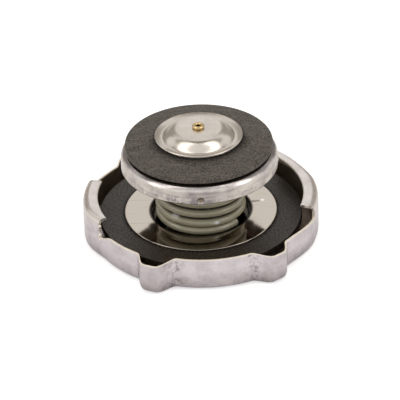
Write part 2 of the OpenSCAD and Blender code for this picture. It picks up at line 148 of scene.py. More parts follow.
class StackSizes(bpy.types.PropertyGroup):
    """Sizes of the pieces on the cap's axis that the frame's boxes don't give."""

    gasket_bore: length("Gasket bore", "Inside radius of the top gasket", 17.4 * MM)
    well: length("Well", "Radius of the flat floor of the disc's well", 13.8 * MM)
    well_slope: length("Well wall", "Width of the well's steep wall", 1.2 * MM)
    collar: length("Collar", "Height of the rounded collar round the disc's well", 0.12 * MM)
    collar_slope: length("Collar slope", "Width of the collar's outer slope", 3 * MM)
    disc_sheet: length("Disc sheet", "Thickness of the retaining disc", 0.45 * MM)
    shank_hole: length("Shank hole", "Radius of the rivet's hole in the inner stack", 2.47 * MM)
    pip_at: length("Pip place", "Distance of the disc's pip from the axis", 18.8 * MM)
    pip: length("Pip radius", "Radius of the disc's pip", 1.3 * MM)
    pip_turn: turn("Pip turn", "Direction of the disc's pip", 12)
    wire: length("Spring wire", "Diameter of the pressure spring's wire", 2.5 * MM)
    spring_turns: FloatProperty(name="Spring turns", description="Turns of the pressure spring", default=7)
    spring_turn: turn("Spring end", "Direction of the pressure spring's lower end", -35)
    light_wire: length("Light wire", "Diameter of the vacuum spring's wire", 0.6 * MM)
    light_turns: FloatProperty(name="Light turns", description="Turns of the vacuum spring", default=5.5)
    cup_sheet: length("Cup sheet", "Thickness of the valve cup's sheet", 0.6 * MM)
    cup_fall: length("Cup fall", "How far the valve cup falls away under the seal's edge", 0.7 * MM)
    shoulder: length("Cup shoulder", "Height of the valve cup's rounded shoulder", 2.2 * MM)
    shoulder_width: length("Shoulder width", "Width of the valve cup's rounded shoulder", 2.05 * MM)
    dent: length("Dent ball", "Radius of the ball that pressed the dent into the valve cup", 1.5 * MM)
    dent_depth: length("Dent depth", "Depth of the dent in the valve cup's skirt", 0.55 * MM)
    dent_rise: length("Dent height", "Height of the dent's middle above the skirt's edge", 1.1 * MM)
    web_bore: length("Web bore", "Radius of the plunger's hole in the valve cup", 6.02 * MM)
    seat: length("Seat", "Radius of the flat middle of the seal", 13.2 * MM)
    seal_sheet: length("Seal thickness", "Thickness of the pressure seal", 2.0 * MM)
    seal_drop: length("Seal drop", "Drop of the seal from its flat middle to its edge", 1.15 * MM)
    seal_bevel: length("Seal bevel", "Bevel on the corners of the seal's edge", 0.4 * MM)
    seal_bore: length("Seal bore", "Radius of the pressure seal's bore", 8.7 * MM)
    dish_sheet: length("Dish sheet", "Thickness of the vacuum dish", 0.5 * MM)
    dish_lip: length("Dish lip", "Height of the dish's lip above its foot groove", 0.6 * MM)
    dish_foot: length("Dish foot", "Radius of the dish's foot groove", 10.7 * MM)
    dish_crown: length("Dish crown", "Radius at which the dish begins to fall to its foot groove", 5.8 * MM)
    dish_swell: FloatProperty(name="Dish swell", description="How far out the dish is steepest", default=1.7)
    dish_shoulder: length("Dish shoulder", "Height of the dish's shoulder", 2.0 * MM)
    dish_rise: length("Dish rise", "Further rise of the dish to its middle", 0.8 * MM)
    neck: length("Stem neck", "Radius of the stem's neck in the dish", 1.15 * MM)
    stem: length("Stem", "Radius of the stem's body", 1.4 * MM)
    eyelet: length("Eyelet", "Radius of the stem's rolled eyelet", 1.8 * MM)
    eyelet_rise: length("Eyelet height", "Height of the stem's rolled eyelet", 0.95 * MM)
    stem_bore: length("Stem bore", "Radius of the stem's blind bore", 0.75 * MM)
    around: IntProperty(name="Steps around", description="Steps in a full turn of a round piece", default=288)


class Colours(bpy.types.PropertyGroup):
    """Colours of the finishes."""

    shell: colour("Stainless", "Satin stamped sheet", "ded5d8")
    # The next colour is for handling smudges, and also for painted shade on the stainless sheet.
    smudge_and_shade: colour("Smudge", "Handling smudges on the stainless sheet", "8f8888")
    # The next colour paints shade on the inside of the sheet.
    inside: colour("Inside", "Dull inside of the stainless sheet", "86765f")
    # The next colour paints shade in the disc's well and between the coils, and dark reflections on the disc.
    painted_dark: colour("Grease", "Old grease in the disc's well and between the coils", "3a332b")
    # The next colour paints cut edges bright: partly bare metal, partly painted highlight.
    bare_and_highlight: colour("Bare edge", "Cut and rubbed edges of the stainless sheet", "ebe3d6")
    cup: colour("Cup", "Drawn sheet of the valve cup", "ddd5cd")
    disc: colour("Disc", "Polished sheet of the disc", "c6bcb0")
    dish: colour("Dish", "Satin sheet of the vacuum dish", "d4cbc0")
    plating: colour("Plating", "Zinc plating on the hidden steel pieces", "b9b7b3")
    seal: colour("Seal", "Rubber of the pressure seal", "4b4641")
    gasket: colour("Gasket", "Rubber of the top gasket", "251f1a")
    paint: colour("Paint", "Paint on the pressure spring", "aca58a")
    brass: colour("Brass", "Rolled brass of the stem", "cdb27e")
    # The next colour paints glints on the disc's pip and the spring.
    painted_glint: colour("Chip", "Bright rubbed spots on the disc and the spring", "fffffc")
    sheen: colour("Sheen", "Warm sheen of the rubber", "fff1e4")
    lamp: colour("Lamp", "Light of the softboxes", "fffdfa")
    floor: colour("Floor", "Pale studio floor", "f2f1f0")
    ceiling: colour("Ceiling", "Grey studio ceiling", "b4afa8")
    flat: colour("Flats", "Pale studio flats", "dedad4")


class Studio(bpy.types.PropertyGroup):
    """Camera and light of the studio."""

    distance: length("Distance", "Distance of the camera from the cap", 0.9)
    elevation: turn("Elevation", "Height of the camera above the horizon", 31.6)
    roll: turn("Roll", "Turn of the camera about its view", 1.88)
    lens: FloatProperty(name="Lens", description="Focal length of the camera", default=273.7, unit="CAMERA")
    aim: FloatVectorProperty(name="Aim", description="Point that the camera looks at", subtype="TRANSLATION",
                             default=(-0.2 * MM, 0, 10.84 * MM), unit="LENGTH")
    softbox: FloatProperty(name="Softboxes", description="Power of each softbox", default=2.2, unit="POWER")
    ambient: FloatProperty(name="Ambient", description="Strength of the even light", default=0.58)


def shell_sizes():
    """The shell's sizes as the sidebar holds them."""
    return bpy.context.scene.cap_shell


def stack_sizes():
    """The stack's sizes as the sidebar holds them."""
    return bpy.context.scene.cap_stack


def finish(name):
    """One of the sidebar's colours as a shader's four values."""
    return (*getattr(bpy.context.scene.cap_colours, name), 1)


def smooth(t):
    """Smooth step: three times the square less twice the cube, held between 0 and 1."""
    t = np.clip(t, 0, 1)
    return t * t * (3 - 2 * t)


def arc(x, z, radius, start, end, steps):
    """Points of a circle's arc in a section, from one angle in degrees to another."""
    a = np.radians(np.linspace(start, end, steps + 1))
    across = np.asarray(x)[..., None] + radius * np.cos(a)
    return np.stack([across, np.broadcast_to(z + radius * np.sin(a), across.shape)], -1)


def rounded(corners, radius, steps=4):
    """A closed outline with rounded corners, each a parabola between points set back along its two edges."""
    corners = np.asarray(corners, float)
    before = np.roll(corners, 1, 0) - corners
    after = np.roll(corners, -1, 0) - corners
    long_before = np.linalg.norm(before, axis=1)[:, None]
    long_after = np.linalg.norm(after, axis=1)[:, None]
    reach = np.minimum(radius, 0.45 * np.minimum(long_before, long_after))
    begin = corners + before / long_before * reach
    end = corners + after / long_after * reach
    t = np.linspace(0, 1, steps + 1)[None, :, None]
    curve = (1 - t) ** 2 * begin[:, None] + 2 * t * (1 - t) * corners[:, None] + t * t * end[:, None]
    return curve.reshape(-1, 2)


def grid_faces(rows, columns, wrap_rows=False, wrap_columns=False, first=0):
    """Four-sided faces between neighbours on a grid of points, which may close on itself either way."""
    i = np.arange(rows if wrap_rows else rows - 1)[:, None]
    j = np.arange(columns if wrap_columns else columns - 1)[None, :]
    i2 = (i + 1) % rows
    j2 = (j + 1) % columns
    corners = np.broadcast_arrays(i * columns + j, i * columns + j2, i2 * columns + j2, i2 * columns + j)
    return np.stack(corners, -1).reshape(-1, 4) + first


def turned(section, angles):
    """A section of radius and height, or one section for each angle, set in the planes of those angles."""
    section = np.broadcast_to(section, (len(angles), *section.shape[-2:]))
    a = np.broadcast_to(np.asarray(angles).reshape(len(angles), -1), section.shape[:2])
    return np.stack([section[..., 0] * np.cos(a), section[..., 0] * np.sin(a), section[..., 1]], -1)


def show(name, data):
    """A new object at the origin, in the scene."""
    made = bpy.data.objects.new(name, data)
    bpy.context.scene.collection.objects.link(made)
    return made


def put(name, points, faces, sharp=35, weld=1e-7):
    """Make a mesh object: weld double points, turn the faces outwards and smooth all but sharp edges."""
    mesh = bpy.data.meshes.new(name)
    mesh.from_pydata(np.asarray(points).reshape(-1, 3).tolist(), [], [list(map(int, f)) for f in faces])
    work = bmesh.new()
    work.from_mesh(mesh)
    bmesh.ops.remove_doubles(work, verts=work.verts, dist=weld)
    bmesh.ops.dissolve_degenerate(work, edges=work.edges, dist=weld)
    bmesh.ops.recalc_face_normals(work, faces=work.faces)
    work.to_mesh(mesh)
    work.free()
    mesh.shade_smooth()
    mesh.set_sharp_from_angle(angle=math.radians(sharp))
    return show(name, mesh)


def revolved(name, outline, sharp=35):
    """A closed outline of radius and height carried once round the cap's axis."""
    angles = np.linspace(0, 2 * np.pi, stack_sizes().around, endpoint=False)
    outline = np.asarray(outline)
    return put(name, turned(outline, angles), grid_faces(len(angles), len(outline), True, True), sharp)


def settle(piece, finished, body, stands_for):
    """Give a piece its material and its body, and hide the node that it stands for."""
    piece.data.materials.append(finished)
    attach(piece, body)
    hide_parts(stands_for)


def mark(piece, *shares):
    """Store shares of marks, real or painted light and shade, on a piece's points: each is a function of their
    coordinates, and lends its name.
    """
    co = np.empty(3 * len(piece.data.vertices))
    piece.data.vertices.foreach_get("co", co)
    for share in shares:
        layer = piece.data.attributes.new(share.__name__, "FLOAT", "POINT")
        layer.data.foreach_set("value", share(*co.reshape(-1, 3).T).astype(np.float32))


def node(tree, kind, inputs=None, **settings):
    """Add one shader node, set its own settings, and fill its inputs with values or links."""
    new = tree.nodes.new("ShaderNode" + kind)
    for name, value in settings.items():
        setattr(new, name, value)
    for key, value in (inputs or {}).items():
        if isinstance(value, bpy.types.NodeSocket):
            tree.links.new(value, new.inputs[key])
        else:
            new.inputs[key].default_value = value
    return new


def noise(tree, place, size, detail, rough=0.5, **more):
    """A cloudy pattern whose features have a real size in metres, or 1 on coordinates that count widths."""
    inputs = {"Vector": place, "Scale": 1 / size, "Detail": detail, "Roughness": rough, **more}
    return node(tree, "TexNoise", inputs).outputs["Fac"]


def ramp(tree, value, start, end, low=0, high=1):
    """A value whose range from start to end is stretched to that from low to high, and held there."""
    inputs = {"Value": value, "From Min": start, "From Max": end, "To Min": low, "To Max": high}
    return node(tree, "MapRange", inputs).outputs["Result"]


def blend(tree, share, first, second):
    """A colour that goes from the first to the second as the share goes from 0 to 1."""
    return node(tree, "Mix", {"Factor": share, "A": first, "B": second}, data_type="RGBA").outputs["Result"]


def maths(tree, operation, *values, held=False):
    """One sum on shader values, whose result may be held between 0 and 1."""
    return node(tree, "Math", dict(enumerate(values)), operation=operation, use_clamp=held).outputs["Value"]


def stored(tree, name):
    """The share that a piece's points store under a name, or 0 on a piece without it."""
    return node(tree, "Attribute", attribute_name=name).outputs["Fac"]


def bumps(tree, height, strength, depth):
    """Normals of a face that a pattern raises by a depth in metres."""
    return node(tree, "Bump", {"Height": height, "Strength": strength, "Distance": depth}).outputs["Normal"]


def material(name, **sockets):
    """A new material, its node tree, its principled shader with even values on its own sockets, and its object
    coordinates."""
    made = bpy.data.materials.new(name)
    made.use_nodes = True
    tree = made.node_tree
    shader = tree.nodes["Principled BSDF"]
    for key, value in sockets.items():
        shader.inputs[key.replace("_", " ")].default_value = value
    return made, tree, shader, node(tree, "TexCoord").outputs["Object"]


def feed(tree, shader, **sockets):
    """Link patterns to a shader's sockets."""
    for key, value in sockets.items():
        tree.links.new(value, shader.inputs[key.replace("_", " ")])


def times(base, factor):
    """A shader colour made lighter or darker."""
    return tuple(min(1, factor * c) for c in base[:3]) + (1,)


def round_about(tree, place, width, stretch):
    """Texture coordinates that run in rings round the cap's axis: how many widths out from the axis and up,
    and the direction about it, which a smaller stretch draws out into longer arcs."""
    apart = node(tree, "SeparateXYZ", {"Vector": place}).outputs
    flat = node(tree, "CombineXYZ", {"X": apart["X"], "Y": apart["Y"]}).outputs["Vector"]
    radius = node(tree, "VectorMath", {0: flat}, operation="LENGTH").outputs["Value"]
    facing = node(tree, "VectorMath", {0: flat}, operation="NORMALIZE").outputs["Vector"]
    swept = node(tree, "VectorMath", {0: facing, "Scale": stretch}, operation="SCALE").outputs["Vector"]
    rings = maths(tree, "MULTIPLY", maths(tree, "ADD", radius, apart["Z"]), 1 / width)
    lift = node(tree, "CombineXYZ", {"Z": rings}).outputs["Vector"]
    return node(tree, "VectorMath", {0: swept, 1: lift}, operation="ADD").outputs["Vector"]


def drawn_out(tree, place, heading, stretch):
    """Texture coordinates in which a pattern is drawn out along one heading, as scratches are."""
    inputs = {"Vector": place, "Rotation": (0, 0, heading), "Scale": (1, stretch, 1)}
    return node(tree, "Mapping", inputs).outputs["Vector"]


def stainless_sheet(name, base, smudged, brushed, rough):
    """Stamped stainless sheet: a satin mirror with cloudy smudges and fine brush marks, and where its points say,
    scuffs from the press or a hand, painted shade, cut edges painted bright as partly bare metal and partly painted
    highlight, and an inside painted dark as shade and made rougher."""
    made, tree, shader, place = material(name, Metallic=1)
    cloud = noise(tree, place, 5 * MM, 4, 0.6)
    mottle = noise(tree, place, 1.6 * MM, 4, 0.65)
    # Real brush marks are finer than the picture can show, so these are drawn coarser.
    rings = noise(tree, round_about(tree, place, 0.6 * MM, 2.5), 1, 4, 0.7)
    inner, bare_and_highlight = stored(tree, "inside"), stored(tree, "bare_and_highlight")
    scuff = maths(tree, "MULTIPLY", stored(tree, "scuff"), ramp(tree, mottle, 0.46, 0.68, 0, 0.9))
    share = maths(tree, "ADD", ramp(tree, cloud, 0.42, 0.75, 0, smudged), scuff)
    # The share stored for painted shade darkens the sheet towards the smudge colour.
    share = maths(tree, "ADD", share, stored(tree, "painted_shade"))
    share = maths(tree, "ADD", share, ramp(tree, rings, 0.45, 0.65, 0, brushed), held=True)
    tint = blend(tree, share, base, finish("smudge_and_shade"))
    # The inside is painted darker as shade.
    tint = blend(tree, maths(tree, "MULTIPLY", inner, 0.9), tint, finish("inside"))
    # Cut edges are painted bright: partly bare metal, partly painted highlight.
    tint = blend(tree, bare_and_highlight, tint, finish("bare_and_highlight"))
    gloss = ramp(tree, cloud, 0.3, 0.7, rough, rough + 0.1)
    gloss = maths(tree, "MULTIPLY_ADD", inner, 0.15, gloss)
    gloss = maths(tree, "MULTIPLY_ADD", maths(tree, "POWER", bare_and_highlight, 4), 0.5, gloss)
    raised = bumps(tree, mottle, ramp(tree, inner, 0, 1, 0.08, 0), 0.05 * MM)
    feed(tree, shader, Base_Color=tint, Roughness=gloss, Normal=raised)
    return made


def turned_steel(name, base, rough):
    """Metal finished on a lathe: rings of fine grain round the axis that blur its reflections a little."""
    made, tree, shader, place = material(name, Metallic=1)
    # Real lathe rings are finer than the picture can show, so these are drawn coarser.
    rings = noise(tree, round_about(tree, place, 0.35 * MM, 1.5), 1, 3)
    cloud = noise(tree, place, 4 * MM, 4)
    gloss = ramp(tree, maths(tree, "MULTIPLY", rings, cloud), 0.1, 0.5, rough, rough + 0.12)
    tint = blend(tree, ramp(tree, cloud, 0.3, 0.75, 0, 0.25), base, finish("smudge_and_shade"))
    feed(tree, shader, Base_Color=tint, Roughness=gloss, Normal=bumps(tree, rings, 0.1, 0.03 * MM))
    return made


def dark_rubber(name, base, speckle, scratched, shine, rough):
    """Moulded rubber: a dull dark face with gritty speckle, cloudy bloom, rubbed arcs, pale hairline scratches, and
    where its points say, a painted shadow that darkens it and takes away its sheen."""
    made, tree, shader, place = material(name, Specular_Tint=finish("sheen"))
    # Real grit is finer than the picture can show, so it is drawn coarser.
    grit = noise(tree, place, 0.6 * MM, 5, 0.8)
    bloom = noise(tree, place, 6 * MM, 5, 0.65)
    lines = noise(tree, drawn_out(tree, place, 0.9, 20), 9 * MM, 5, 0.7, Distortion=0.6)
    arcs = noise(tree, round_about(tree, place, 0.5 * MM, 2.2), 1, 4, 0.65)
    speck, painted_shadow = ramp(tree, grit, 0.42, 0.66), stored(tree, "painted_shadow")
    tint = blend(tree, speck, times(base, 1 - 0.6 * speckle), times(base, 1 + 1.6 * speckle))
    layers = [(ramp(tree, bloom, 0.38, 0.66, 0, 0.5), 1.9),
              (ramp(tree, arcs, 0.52, 0.7, 0, 0.5 * scratched), 2.6),
              (ramp(tree, lines, 0.57, 0.66, 0, scratched), 3.4),
              # A painted shadow, darker where its points say.
              (painted_shadow, 0.4)]
    for share, brightness in layers:
        tint = blend(tree, share, tint, times(base, brightness))
    sheen = ramp(tree, speck, 0, 1, 0.5 * shine, 2 * shine)
    # The painted shadow also takes away the sheen.
    sheen = maths(tree, "MULTIPLY_ADD", painted_shadow, -shine, sheen, held=True)
    feed(tree, shader, Base_Color=tint, Specular_IOR_Level=sheen,
         Roughness=ramp(tree, bloom, 0, 1, rough, rough + 0.2), Normal=bumps(tree, grit, 0.6, 0.1 * MM))
    return made


def polished_sheet(name, base):
    """Mirror polished sheet: a clear reflection with a trace of hairlines, and where its points say, painted shade
    and painted dark reflection, and painted glints."""
    made, tree, shader, place = material(name, Metallic=1)
    hair = noise(tree, drawn_out(tree, place, -0.8, 18), 12 * MM, 5)
    film = noise(tree, place, 9 * MM, 3)
    tint = blend(tree, ramp(tree, hair, 0.6, 0.72, 0, 0.3), base, finish("smudge_and_shade"))
    # Painted shade, dark reflections and glints, stored on the points.
    for painted_mark in ("painted_dark", "painted_glint"):
        tint = blend(tree, stored(tree, painted_mark), tint, finish(painted_mark))
    feed(tree, shader, Base_Color=tint, Roughness=ramp(tree, film, 0.3, 0.7, 0.05, 0.11))
    return made


def spring_paint(name, base):
    """Dipped enamel on spring wire: even gloss with a slight orange peel and thin dirt, and where its points say,
    painted shade between the coils and painted glints."""
    made, tree, shader, place = material(name, Coat_Weight=0.8, Coat_Roughness=0.08)
    peel = noise(tree, place, 1.1 * MM, 2)
    dirt = noise(tree, place, 5 * MM, 4)
    tint = blend(tree, ramp(tree, dirt, 0.45, 0.75, 0, 0.5), base, times(base, 0.7))
    # Painted shade between the coils and painted glints, stored on the points.
    for painted_mark in ("painted_dark", "painted_glint"):
        tint = blend(tree, stored(tree, painted_mark), tint, finish(painted_mark))
    feed(tree, shader, Base_Color=tint, Roughness=ramp(tree, peel, 0, 1, 0.3, 0.45),
         Normal=bumps(tree, peel, 0.15, 0.05 * MM))
    return made


def half_turn(angles):
    """Angles brought within a quarter turn of zero by half turns, because the lobes repeat after half a turn."""
    return angles - np.pi * np.floor(angles / np.pi + 0.5)


def past_grip(angles, s):
    """Angle of each direction from the middle of the nearest grip lobe."""
    return abs(abs(half_turn(angles - s.front_turn)) - s.grip_apart / 2)


def skirt_radius(angles, lean, s):
    """Radius of the skirt's outside: walls that lean in towards the rim, with a smooth step up to each lobe."""
    past_front = half_turn(angles - s.front_turn)
    past_ear = abs(half_turn(angles - s.ear_turn))
    ahead, right = np.cos(angles - s.front_turn) > 0, np.cos(angles - s.ear_turn) > 0
    side = np.select([ahead & right, ~ahead & right, ~ahead], s.sides[:3], s.sides[3])
    wall = np.where(abs(past_front) < s.grip_apart / 2,
                    s.front - lean * s.front_lean + s.front_swing * past_front / (s.grip_apart / 2),
                    side - lean * s.side_lean)
    ear_share = 1 - smooth((past_ear - s.ear_half) / s.ear_flank)
    grip_share = 1 - smooth((past_grip(angles, s) - s.grip_half) / s.grip_flank)
    return wall + (s.ear - wall) * ear_share + (s.grip - wall) * grip_share


def rim_height(angles, s):
    """Height of the skirt's rim, which dips smoothly into the relief cut at the left ear's front end."""
    past = abs((angles - s.left_to + np.pi) % (2 * np.pi) - np.pi)
    return s.rim - s.relief * (1 - smooth(past / s.relief_turn))


def shell_mesh(s):
    """The shell's section carried round the axis, with a rounded rim between the ears and a folded sheet on them.
    Each stretch is its own grid of directions and section points, and the grids are welded where they meet."""
    fine = math.radians(0.75)

    def directions(start, end):
        return np.linspace(start, end, int(round((end - start) / fine)) + 1)

    ears = [(s.right_from, s.right_to), (s.left_from, s.left_to)]
    gaps = [(s.right_to, s.left_from), (s.left_to, s.right_from + 2 * np.pi)]
    points, faces, count = [], [], 0

    def grid(section, angles, wrap=False):
        nonlocal count
        placed = turned(section, angles)
        points.append(placed.reshape(-1, 3))
        faces.extend(grid_faces(placed.shape[0], placed.shape[1], wrap, False, count).tolist())
        count += placed.shape[0] * placed.shape[1]
        return placed

    t, e = s.sheet, s.edge
    around = np.concatenate([directions(a, b)[:-1] for a, b in (ears[0], gaps[0], ears[1], gaps[1])])
    foot = skirt_radius(around, 0, s)
    rim = skirt_radius(around, 1, s)
    brim = rim_height(around, s)[:, None]

    def fixed(section):
        return np.broadcast_to(section, (len(around), *section.shape))

    def wall(inset):
        share = np.linspace(0, 1, 6)[None, 1:]
        radius = foot[:, None] + (rim - foot)[:, None] * share - inset
        return np.stack([radius, s.foot + (brim - e - s.foot) * share], -1)

    turn_in = arc(s.crown, s.crown_rise - t, t, 90, 10, 5)
    turn_out = arc(s.crown + s.bead, t, t, 190, 270, 5)
    hub = np.array([[s.rivet_hole, s.crown_rise]])
    outside = np.concatenate([fixed(hub), fixed(turn_in), fixed(turn_out),
                              arc(foot - s.foot, s.foot, s.foot, -90, 0, 8), wall(0)], 1)
    grid(outside, around, True)
    inner_foot = arc(foot - s.foot, s.foot, s.foot - t, -90, 0, 6)
    inner_turn = np.concatenate([arc(s.crown, s.crown_rise - t, 2 * t, 90, 10, 6),
                                 [[s.crown + s.bead + t / 2, t]]])
    hub_in = np.array([[s.rivet_hole, s.crown_rise + t]])
    inside = np.concatenate([fixed(hub_in), fixed(inner_turn), inner_foot, wall(t)], 1)
    grid(inside, around, True)
    grid(np.stack([fixed(hub)[:, 0], fixed(hub_in)[:, 0]], 1), around, True)

    def rim_cap(angles):
        top = skirt_radius(angles, 1, s)
        cut = np.array([[0, -e], [-0.3 * e, -0.3 * e], [-e, 0], [e - t, 0], [0.3 * e - t, -0.3 * e], [-t, -e]])
        return np.stack([top[:, None] + cut[:, 0], rim_height(angles, s)[:, None] + cut[:, 1]], -1)

    for start, end in gaps:
        angles = directions(start, end)
        grid(rim_cap(angles), angles)

    def ear_halves(angles):
        top = skirt_radius(angles, 1, s)
        mark = np.cos(11 * angles) * np.cos(29 * angles + 1) + 0.6 * np.sin(53 * angles)
        lift = s.ripple * mark[:, None] * np.linspace(0.2, 1, 6)[None]
        low = rim_height(angles, s)[:, None] - e
        rise = low + (s.ear_top - s.ear_bend - low) * np.linspace(0, 1, 9)
        climb = np.stack([np.broadcast_to(top[:, None], rise.shape), rise], -1)
        bend = arc(top - s.ear_bend, s.ear_top - s.ear_bend, s.ear_bend, 0, 90, 8)[:, 1:]
        bent = (top - s.ear_bend)[:, None]
        flat = np.stack([bent + (s.ear_edge + e - bent) * np.linspace(0, 1, 6), s.ear_top - abs(lift)], -1)
        cut = np.array([[e, 0], [0.3 * e, -0.3 * e], [0, -e]])
        tip = np.stack(np.broadcast_arrays(s.ear_edge + cut[:, 0], flat[:, -1:, 1] + cut[:, 1]), -1)
        outer = np.concatenate([climb, bend, flat[:, 1:], tip[:, 1:]], 1)
        bend_in = arc(top - s.ear_bend, s.ear_top - s.ear_bend, s.ear_bend - t, 0, 90, 8)[:, 1:]
        flat_in = flat - [0, t]
        tip_in = np.stack([tip[..., 0], 2 * flat[:, -1:, 1] - t - tip[..., 1]], -1)
        climb_in = climb - [t, 0]
        inner = np.concatenate([climb_in, bend_in, flat_in[:, 1:], tip_in[:, 1:]], 1)
        return outer, inner

    for start, end in ears:
        angles = directions(start, end)
        outer, inner = ear_halves(angles)
        steps = np.repeat(angles[:, None], outer.shape[1], 1)
        if end == s.left_to:
            along = np.linspace(0, 1, 9)
            jut = np.sin(9.4 * along) * (1 - 0.7 * along) + 0.35 * np.cos(21 * along)
            jut[[0, -1]] = 0
            steps[-1, :9] += s.tear / s.ear * jut
        placed_out = grid(outer, steps)
        placed_in = grid(inner, steps)
        grid(np.stack([outer[:, -1], inner[:, -1]], 1), angles)
        for at in (0, -1):
            cap_ring = turned(rim_cap(angles[[at]])[0], angles[[at]])[0]
            side = np.stack([placed_out[at][1:], placed_in[at][1:]], 1)
            points.extend([side.reshape(-1, 3), cap_ring])
            faces.extend(grid_faces(len(side), 2, False, False, count).tolist())
            edge_at = count + 2 * len(side)
            faces.append([count, *range(edge_at, edge_at + len(cap_ring)), count + 1])
            count = edge_at + len(cap_ring)
    return np.concatenate(points), faces


class CAP_OT_shell(bpy.types.Operator):
    """Build the stamped shell with its lobes and bayonet ears"""

    bl_idname = "radiator_cap.shell"
    bl_label = "Shell"

    def execute(self, context):
        s = shell_sizes()
        points, faces = shell_mesh(s)
        piece = put("stamped_shell", points, faces, weld=2e-6)

        def scuff(x, y, z):
            """Scuffs from the press, where the front and back walls run into the grip lobes' flanks."""
            angle = np.arctan2(y, x)
            near = (past_grip(angle, s) - s.grip_half - s.grip_flank) / (0.45 * s.grip_flank)
            between = abs(half_turn(angle - s.front_turn)) < s.grip_apart / 2
            return np.where(between, np.exp(-near ** 2), 0) * smooth((np.hypot(x, y) - s.front) / MM + 3)

        def painted_shade(x, y, z):
            """Painted shade that darkens the skirt evenly towards its foot, and a darker tone on the grip lobes and
            the ears.
            """
            grip = np.exp(-(past_grip(np.arctan2(y, x), s) / (s.grip_half + 0.4 * s.grip_flank)) ** 2)
            ear = 0.2 * smooth((z - s.rim) / (4 * MM))
            return 0.5 * (1 - smooth((z - s.foot / 2) / (5.5 * MM))) + 0.22 * grip + ear

        def inside(x, y, z):
            """The inside of the skirt, which is rougher and painted dark as shade, though less so before the right
            ear.
            """
            lean = np.clip((z - s.foot) / (s.rim - s.foot), 0, 1)
            deep = skirt_radius(np.arctan2(y, x), lean, s) - np.hypot(x, y)
            past = np.arctan2(y, x) - s.right_from + math.radians(8)
            less_shade = 0.6 * np.exp(-(past / math.radians(14)) ** 2)
            within = (deep > 0.6 * s.sheet) & (z > s.sheet) & (z < s.ear_top - 0.5 * s.sheet)
            return np.where(within, 1 - less_shade, 0)

        def bare_and_highlight(x, y, z):
            """The sheet's cut edges, and in part the ears' tops, painted bright: partly rubbed bare metal, partly
            painted highlight.
            """
            radius, angle = np.hypot(x, y), np.arctan2(y, x)
            on_rim = abs(z - rim_height(angle, s)) < 0.4 * s.edge
            on_tip = (radius < s.ear_edge + 0.4 * s.edge) & (z > s.rim)
            beyond = np.minimum((angle - s.left_to) % (2 * np.pi), (s.right_from - angle) % (2 * np.pi))
            at_end = (beyond < math.radians(2)) | (beyond > math.radians(359.8))
            on_end = at_end & (z > rim_height(angle, s) - s.edge)
            on_top = 0.45 * smooth((z - s.rim) / (3 * MM))
            return np.where(on_rim | on_tip | on_end, 1, on_top)

        mark(piece, scuff, painted_shade, inside, bare_and_highlight)
        metal = stainless_sheet("stamped satin stainless", finish("shell"), smudged=0.42, brushed=0.08,
                                rough=0.2)
        settle(piece, metal, "shell", "outer_shell")
        return {"FINISHED"}


class CAP_OT_gasket(bpy.types.Operator):
    """Build the flat rubber ring inside the crown"""

    bl_idname = "radiator_cap.gasket"
    bl_label = "Gasket"

    def execute(self, context):
        low, high = foot_of("top_gasket"), top_of("top_gasket")
        bore, out = stack_sizes().gasket_bore, reach_of("top_gasket")
        across = np.linspace(out, bore, 36)
        top = np.stack([across, np.full_like(across, high)], -1)
        piece = revolved("rubber_gasket", rounded([[bore, low], [out, low], *top], 0.35 * MM))

        def painted_shadow(x, y, z):
            """A painted shadow line along the edge of the retaining disc."""
            return 0.8 * np.exp(-((np.hypot(x, y) - reach_of("retaining_disc")) / (0.7 * MM)) ** 2)

        mark(piece, painted_shadow)
        rubber = dark_rubber("moulded speckled rubber", finish("gasket"), speckle=1, scratched=0.15, shine=0.4,
                             rough=0.28)
        settle(piece, rubber, "shell", "top_gasket")
        return {"FINISHED"}


